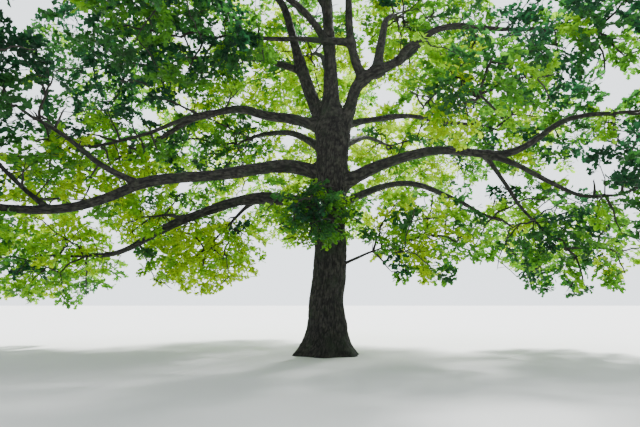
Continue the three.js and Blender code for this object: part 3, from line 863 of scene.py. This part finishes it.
class Bark(Shape):
    """A shape that also marks each vertex's place on the straightened limb and its height on its plate."""

    def __init__(self):
        super().__init__()
        self.marks = []

    def add_limb(self, name, limbs, axis, side, across, radii, runs):
        """Adds one limb: a grid of rings, melted into its neighbours and with the relief of its bark."""
        rings, sides = radii.shape
        turns = full_turn(sides)
        points = axis[:, None] + around(side, across, turns) * radii[..., None]
        smooth = melted(name, limbs, points.reshape(-1, 3)).reshape(rings, sides, 3)
        out = unit(smooth - axis[:, None])
        salt = seed_of(name) % 9973
        runs = np.broadcast_to(runs[:, None], radii.shape)
        rounds = np.stack([radii * np.cos(turns), radii * np.sin(turns), runs], -1).reshape(-1, 3)
        relief, height = bark_relief(rounds, radii.ravel(), salt)
        self.add(smooth + out * relief.reshape(rings, sides, 1), *tube_faces(1, rings, sides))
        self.marks.append(np.column_stack([rounds + (0, 0, salt % 97), height]))

    def build(self, name, look, smooth):
        """The mesh, with the marks as attributes for its material."""
        piece = super().build(name, look, smooth)
        marks = np.concatenate(self.marks).astype(np.float32)
        places = piece.data.attributes.new("along_limb", "FLOAT_VECTOR", "POINT")
        places.data.foreach_set("vector", marks[:, :3].ravel())
        heights = piece.data.attributes.new("plate", "FLOAT", "POINT")
        heights.data.foreach_set("value", marks[:, 3].copy())
        return piece


def trunk_bark(limbs):
    """The trunk, from the flat cut at the ground to the round top inside the fork."""
    shape = Bark()
    sides = BARK.trunk_sides
    levels = np.linspace(0, TRUNK.height, round(TRUNK.height / BARK.trunk_ring))
    axis = trunk_middle(levels)
    radii = trunk_radius(levels[:, None], full_turn(sides))
    side, across = [np.broadcast_to(way, axis.shape) for way in ((1.0, 0.0, 0.0), (0.0, 1.0, 0.0))]
    shape.add_limb("trunk", limbs, axis, side, across, radii, levels)
    heights = shape.vertices[0][:, 2]  # it stands flat on the ground
    heights[:] = np.maximum(heights, 0)
    heights[:sides] = 0
    return shape


def bough_bark(limbs):
    """All limbs, as one shape."""
    shape = Bark()
    for limb in limbs.values():
        rings = max(BARK.fewest_rings, round(limb.length / BARK.ring))
        girth = 2 * np.pi * (limb.root + limb.tip) / 2
        sides = int(np.clip(round(girth / BARK.quad), *BARK.sides))
        shares = np.linspace(0, 1, rings)
        axis = along(limb.points, shares)
        side, across = frames_along(axis[None])
        radii = np.broadcast_to(limb.radius(shares)[:, None], (rings, sides))
        shape.add_limb(limb.name, limbs, axis, side[0], across[0], radii, shares * limb.length)
    return shape


# Twigs and leaves


def crooked(points, rng):
    """A route with small jogs from side to side, fixed at both ends."""
    jogs = rng.normal(0, TWIG.jog, points.shape) * np.linalg.norm(points[-1] - points[0])
    jogs[1:-1] = (jogs[1:-1] + jogs[2:]) / 1.5
    return points + jogs * (np.sin(np.pi * np.linspace(0, 1, len(points))) ** 0.5)[:, None]


def twig_shape(masses, rng):
    """Stems, twigs and shoots, as one shape."""
    shape = Shape()
    for stem, twigs, _ in masses:
        for route in [stem, *twigs]:
            rings, sides = (STEM if route is stem else TWIG).grid
            points, radii = smoothed(*route, rings)
            sweep(shape, crooked(points, rng)[None], radii[None], sides)
    sprays = [spray for _, _, made in masses for spray in made]
    sweep(shape, gathered(sprays, "rib"), gathered(sprays, "radii"), SPRAY.sides)
    return shape


def gathered(sprays, name):
    """One value of every spray, as one array."""
    return np.array([getattr(spray, name) for spray in sprays])


def side_twigs(sprays, rng):
    """Roots and tips of the side twigs of all sprays: left and right by turns, as (sprays, twigs, 3)."""
    count = SPRAY.side_twigs
    ahead, across, face = [gathered(sprays, name)[:, None] for name in ("ahead", "across", "face")]
    ribs = gathered(sprays, "rib")
    ends = ribs[:, None, -1]
    inward = unit(ribs[:, None, -2] - ends)
    length = gathered(sprays, "length")[:, None]
    uneven = SIDE_TWIG.uneven
    share = (np.arange(count) + 0.5) / count + rng.uniform(-uneven, uneven, (len(sprays), count))
    side = np.where(np.arange(count) % 2, 1, -1)[None]
    roots = ends + inward * ((1 - share) * length * SIDE_TWIG.reach_back)[..., None]
    low, high = SIDE_TWIG.wave
    bulge = SIDE_TWIG.base + SIDE_TWIG.bulge * np.sin(np.pi * (low + (high - low) * share))
    width = SPRAY.width / 2 * length * bulge
    width = width * rng.uniform(*SIDE_TWIG.longer, share.shape)
    fan = np.radians(rng.uniform(*SIDE_TWIG.fan, share.shape))
    lift = rng.normal(0, SIDE_TWIG.lift, share.shape)
    ways = ahead * np.cos(fan)[..., None] + across * (side * np.sin(fan))[..., None] + face * lift[..., None]
    return roots, roots + unit(ways) * width[..., None]


def side_leaves(face, roots, tips, rng):
    """The feet and directions of the leaves on the side twigs, left and right by turns."""
    count = LEAF.on_side_twig
    first, uneven = LEAF.first, LEAF.uneven
    share = (np.arange(count) + first) / (count - 1 + first)
    share = np.clip(share + rng.uniform(-uneven, uneven, roots.shape[:2] + (count,)), uneven, 1)
    ways = (tips - roots)[:, :, None]
    side = np.where(np.arange(count) % 2, 1, -1) * np.ones(share.shape)
    narrow = np.where(share > LEAF.at_end, LEAF.end_spread, 1)
    spread = np.radians(rng.uniform(*LEAF.spread, share.shape)) * narrow
    outward = np.cross(face[:, None, None], unit(ways))
    ahead = unit(ways) * np.cos(spread)[..., None] + outward * (side * np.sin(spread))[..., None]
    return roots[:, :, None] + ways * share[..., None], ahead


def tip_leaves(sprays, face, rng):
    """The feet and directions of the leaves round the tips of the sprays."""
    feet = np.repeat(gathered(sprays, "rib")[:, None, -1], LEAF.at_tip, 1)
    turn = np.arange(LEAF.at_tip) * LEAF.tip_turn + rng.uniform(0, 6, (len(sprays), 1))
    ahead = gathered(sprays, "ahead")[:, None] * LEAF.tip_onward
    ahead = ahead + gathered(sprays, "across")[:, None] * np.cos(turn)[..., None]
    return feet, ahead + face[:, None] * np.sin(turn)[..., None] * LEAF.tip_depth


def place_leaves(sprays, roots, tips, rng):
    """The foot, direction, face and spray of every leaf."""
    face = gathered(sprays, "face")
    face = face * np.sign(face[:, 2:] + 1e-6)
    groups = [side_leaves(face, roots, tips, rng), tip_leaves(sprays, face, rng)]
    feet = np.concatenate([group_feet.reshape(-1, 3) for group_feet, _ in groups])
    ahead = np.concatenate([group_ahead.reshape(-1, 3) for _, group_ahead in groups])
    number = np.arange(len(sprays))
    owner = np.concatenate([np.repeat(number, group_feet[0].size // 3) for group_feet, _ in groups])
    of_spray, of_sky = LEAF.faces
    up = unit(face[owner] * of_spray + UP * of_sky + rng.normal(0, LEAF.flutter, feet.shape))
    ahead = ahead - UP * LEAF.droop
    ahead = unit(ahead - up * (ahead * up).sum(-1, keepdims=True))
    return feet, ahead, up, owner


def leaf_shape(feet, ahead, up, lengths):
    """Lobed leaves, each folded along its midrib."""
    shape = Shape()
    left = [(run, -out) for run, out in LEAF.outline[-2:0:-1]]
    outline = np.array([(run, out, LEAF.fold * abs(out)) for run, out in [*LEAF.outline, *left]])
    across = np.cross(up, ahead)
    axes = np.stack([ahead, across, up], 1) * lengths[:, None, None]
    vertices = feet[:, None] + np.einsum("pi,nij->npj", outline, axes)
    pattern = np.array([[0, 2, 1], [0, 4, 2], [2, 4, 3], [0, 6, 4], [4, 6, 5], [0, 7, 6]])
    shape.add(vertices, np.arange(len(feet))[:, None, None] * 8 + pattern)
    return shape


# Materials


def feed(tree, made, inputs):
    """Sets the inputs of a node: each to a value, or to the socket that feeds it."""
    for key, value in inputs.items():
        if isinstance(value, bpy.types.NodeSocket):
            tree.links.new(value, made.inputs[key])
        else:
            made.inputs[key].default_value = value


def node(tree, kind, inputs=None, **settings):
    """A new node with these inputs and settings."""
    made = tree.nodes.new("ShaderNode" + kind)
    for key, value in settings.items():
        setattr(made, key, value)
    feed(tree, made, inputs or {})
    return made


def material(name):
    """A new material, its nodes, its main shader and the place of each point in metres."""
    made = bpy.data.materials.new(name)
    made.use_nodes = True
    tree = made.node_tree
    return made, tree, tree.nodes["Principled BSDF"], node(tree, "TexCoord").outputs["Object"]


def mixed_colour(tree, share, *colours):
    """One colour turning into another by a share: each is three numbers or a socket."""
    first, second = [end if isinstance(end, bpy.types.NodeSocket) else (*end, 1) for end in colours]
    return node(tree, "Mix", {0: share, 6: first, 7: second}, data_type="RGBA").outputs[2]


def ranged(tree, value, low, high, first=0.0, last=1.0):
    """A value stretched so that low becomes the first number and high the last."""
    ends = {"From Min": low, "From Max": high, "To Min": first, "To Max": last}
    return node(tree, "MapRange", {"Value": value, **ends}).outputs["Result"]


def noise_of(tree, place, scale, detail=4.0, roughness=0.55, output="Fac"):
    """Noise, as one number or as a colour."""
    inputs = {"Vector": place, "Scale": scale, "Detail": detail, "Roughness": roughness}
    return node(tree, "TexNoise", inputs).outputs[output]


def patches(tree, place):
    """Soft patches of an older and a younger look, from 0 to 1."""
    return ranged(tree, noise_of(tree, place, 7.0), 0.35, 0.65)


def bump(tree, height, strength, distance, **below):
    """A relief that only tilts the light, over an earlier one given as Normal."""
    inputs = {"Height": height, "Strength": strength, "Distance": distance, **below}
    return node(tree, "Bump", inputs).outputs["Normal"]


BARK_COLOURS = SimpleNamespace(
    dark_plate=(0.013, 0.012, 0.01),
    light_plate=(0.056, 0.053, 0.043),
    furrow=(0.005, 0.0045, 0.004),
    moss=(0.018, 0.032, 0.014),
)
YOUNG_BARK = ((0.014, 0.012, 0.01), (0.04, 0.035, 0.028))


def bark_material():
    """Grey-brown plates, darker furrows, fine cracks along the limb, and a bloom of green algae."""
    made, tree, shader, place = material("oak_bark")
    plate = node(tree, "Attribute", attribute_name="plate").outputs["Fac"]
    ridge = mixed_colour(tree, patches(tree, place), BARK_COLOURS.dark_plate, BARK_COLOURS.light_plate)
    furrow = mixed_colour(tree, ranged(tree, plate, 0.05, 0.7), BARK_COLOURS.furrow, ridge)
    green = ranged(tree, noise_of(tree, place, 1.4, 6.0, 0.7), 0.5, 0.72)
    mossy = mixed_colour(tree, green, furrow, BARK_COLOURS.moss)
    rough = ranged(tree, noise_of(tree, place, 25.0), 0, 1, 0.78, 0.98)
    along_limb = node(tree, "Attribute", attribute_name="along_limb").outputs["Vector"]
    thin = node(tree, "Mapping", {"Vector": along_limb, "Scale": (30, 30, 5)}).outputs["Vector"]
    stray = noise_of(tree, thin, 0.9, 2.0, 0.5, "Color")
    warped = node(tree, "VectorMath", {0: thin, 1: stray}).outputs["Vector"]
    cracks = node(tree, "TexVoronoi", {"Vector": warped, "Scale": 1.0}, feature="DISTANCE_TO_EDGE")
    cracked = bump(tree, ranged(tree, cracks.outputs["Distance"], 0.0, 0.22), 0.9, 0.016)
    grain = bump(tree, noise_of(tree, place, 55.0, 6.0, 0.7), 0.5, 0.012, Normal=cracked)
    feed(tree, shader, {"Base Color": mossy, "Roughness": rough, "Normal": grain})
    return made


def twig_material():
    """Smooth grey-brown bark of young wood."""
    made, tree, shader, place = material("young_bark")
    colour = mixed_colour(tree, noise_of(tree, place, 9.0), *YOUNG_BARK)
    grain = bump(tree, noise_of(tree, place, 60.0), 0.3, 0.01)
    feed(tree, shader, {"Base Color": colour, "Roughness": 0.85, "Normal": grain})
    return made


def shade(colour, share):
    """A colour made darker or lighter."""
    return tuple(min(1, share * value) for value in colour)


def leaf_material(name, colour, glow):
    """A thin leaf: a colour on top, and the light that shines through it; both carry the painted sunlight or
    shade of its kind.
    """
    made, tree, shader, place = material(name)
    age = patches(tree, place)
    mottled = mixed_colour(tree, age, shade(colour, 0.62), shade(colour, 1.25))
    veins = bump(tree, noise_of(tree, place, 70.0), 0.25, 0.004)
    feed(tree, shader, {"Base Color": mottled, "Roughness": 0.5, "Specular IOR Level": 0.35, "Normal": veins})
    lit = mixed_colour(tree, age, shade(glow, 0.62), shade(glow, 1.15))
    through = node(tree, "BsdfTranslucent", {"Color": lit}).outputs["BSDF"]
    both = node(tree, "MixShader", {"Fac": 0.5, 1: shader.outputs["BSDF"], 2: through})
    feed(tree, tree.nodes["Material Output"], {"Surface": both.outputs["Shader"]})
    return made


# Kinds of leaf, from painted deep shade to painted sunlight, all one leaf with light and shade painted into
# its
# colours: the slot, the colour on top, the colour that shines through, and the share of all sprays.
LEAVES = {
    "leaves_shaded": ("deep_leaves", (0.011, 0.043, 0.022), (0.02, 0.12, 0.036), 0.21),
    "leaves_deep": ("deep_leaves", (0.018, 0.07, 0.02), (0.055, 0.235, 0.036), 0.21),
    "leaves_fresh": ("fresh_leaves", (0.034, 0.125, 0.016), (0.17, 0.48, 0.03), 0.2),
    "leaves_bright": ("fresh_leaves", (0.085, 0.225, 0.012), (0.38, 0.76, 0.018), 0.2),
    "leaves_golden": ("golden_leaves", (0.17, 0.33, 0.006), (0.63, 0.93, 0.006), 0.18),
}

TONE = SimpleNamespace(
    behind=0.045,  # how much more painted sunlight each metre to the back gets
    above=-0.01,
    patches=0.45,
    patch_size=1.7,
    salt=31,
    uneven=0.22,  # from spray to spray
)
# Places whose leaves are painted more sunlit than the rest, or more shaded: their middle, their reach and how
# much.
SUNLIT = (
    ((-7.0, 0.0, 3.5), 4.6, 0.65),  # low on the left
    ((-8.0, 1.0, 11.0), 4.0, -0.25),  # high on the left
    ((0.0, -1.2, 4.4), 2.6, 0.25),  # the tuft on the trunk
    ((3.9, -5.1, 7.4), 3.6, 0.5),  # what hangs in front on the right
    ((3.4, -1.0, 3.9), 2.8, 0.25),  # low on the right
    ((1.0, 7.5, 12.5), 5.5, 0.25),  # behind the fork
)


def tones(sprays, rng):
    """How much sunlight is painted on each spray: more so at the back, and uneven from place to place."""
    spots = gathered(sprays, "rib")[:, -1]
    light = TONE.behind * spots[:, 1] + TONE.above * spots[:, 2]
    light += TONE.patches * soft_noise(spots / TONE.patch_size, TONE.salt)
    for middle, reach, more in SUNLIT:
        light += more * np.exp(-((np.linalg.norm(spots - middle, axis=1) / reach) ** 4))
    return light + rng.normal(0, TONE.uneven, len(sprays))


# The scene

FLOOR_SIZE = 1800
FLOOR_COLOURS = ((0.72, 0.72, 0.7), (0.76, 0.76, 0.74))
SKY_COLOUR = (0.86, 0.92, 0.97, 1)
SKY_GLOW = (0.65, 2.7)  # in front and at the back
# Soft suns: strength, how wide each looks in degrees, and the heading and rise that each shines from.
SUNS = {"key": (14.0, 8, 68, 42), "fill": (0.25, 50, 250, 35)}


def stage():
    """A plain pale floor, which isn't part of the tree."""
    floor = Shape()
    corners = np.array([(-1, -1, 0), (1, -1, 0), (1, 1, 0), (-1, 1, 0)]) * FLOOR_SIZE / 2
    floor.add(corners, np.array([[0, 1, 2, 3]]))
    ground, tree, shader, place = material("studio_floor")
    colour = mixed_colour(tree, noise_of(tree, place, 0.3), *FLOOR_COLOURS)
    feed(tree, shader, {"Base Color": colour, "Roughness": 0.95})
    floor.build("studio_floor", ground, False)


def light():
    """A pale sky, brighter at the back, and two soft suns."""
    world = bpy.data.worlds.new("studio")
    bpy.context.scene.world = world
    world.use_nodes = True
    tree = world.node_tree
    way = node(tree, "SeparateXYZ", {"Vector": node(tree, "TexCoord").outputs["Generated"]})
    glow = ranged(tree, way.outputs["Y"], -1, 1, *SKY_GLOW)
    feed(tree, tree.nodes["Background"], {"Strength": glow, "Color": SKY_COLOUR})
    for name, (strength, width, heading, rise) in SUNS.items():
        lamp = bpy.data.lights.new(name, "SUN")
        lamp.energy = strength
        lamp.angle = math.radians(width)
        holder = bpy.data.objects.new(name, lamp)
        bpy.context.scene.collection.objects.link(holder)
        above = Vector(heading_way(math.radians(heading), math.radians(rise)))
        holder.rotation_euler = above.to_track_quat("Z", "Y").to_euler()


def camera():
    """Held at eye height, 17 m in front of the trunk, and tilted up by the photo's horizon."""
    lens_pixels, horizon, width, height = 480, 304, 640, 427
    seen = bpy.data.cameras.new("camera")
    seen.lens = seen.sensor_width * lens_pixels / width
    seen.clip_end = 500
    holder = bpy.data.objects.new("camera", seen)
    holder.location = (-0.18, -17.0, 1.7)
    holder.rotation_euler = (math.pi / 2 + math.atan((horizon - height / 2) / lens_pixels), 0, 0)
    bpy.context.scene.collection.objects.link(holder)
    bpy.context.scene.camera = holder


def dress(piece, nodes):
    """Lets a piece ride on the tree in place of these nodes."""
    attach(piece, "root")
    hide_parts(*nodes)


def build_wood(limbs):
    """The bark of the trunk and of all limbs."""
    bark = bark_material()
    dress(trunk_bark(limbs).build("trunk_bark", bark, True), ["trunk"])
    dress(bough_bark(limbs).build("bough_bark", bark, True), list(limbs))


def build_foliage(limbs):
    """The twigs and the kinds of leaf of all masses."""
    crown = Crown(limbs)
    nodes = [space.name + "_foliage" for space in crown.spaces]
    masses = [grow_mass(space, crown) for space in crown.spaces]
    sprays = [spray for _, _, made in masses for spray in made]
    rng = np.random.default_rng(20)
    roots, tips = side_twigs(sprays, rng)
    shape = twig_shape(masses, rng)
    spikes(shape, roots.reshape(-1, 3), tips.reshape(-1, 3), SIDE_TWIG.radius)
    dress(shape.build("twigs", twig_material(), True), nodes)
    feet, ahead, up, owner = place_leaves(sprays, roots, tips, rng)
    lengths = gathered(sprays, "leaf")[owner] * rng.uniform(*LEAF.sizes, len(feet))
    # sprays are dealt out to the kinds of leaf by how much painted sunlight they get
    order = np.argsort(tones(sprays, rng))
    first = 0.0
    for name, (slot, colour, glow, share) in LEAVES.items():
        low, high = round(first * len(order)), round((first + share) * len(order))
        mine = np.isin(owner, order[low:high])
        leaves = leaf_shape(feet[mine], ahead[mine], up[mine], lengths[mine])
        dress(leaves.build(name, leaf_material(name, colour, glow), False), nodes)
        first += share
    print(len(sprays), "sprays and", len(feet), "leaves")


limbs = {}
for limb_name in LIMBS:
    limbs[limb_name] = walk(limb_name, limbs)
camera()
stage()
light()
build_wood(limbs)
build_foliage(limbs)
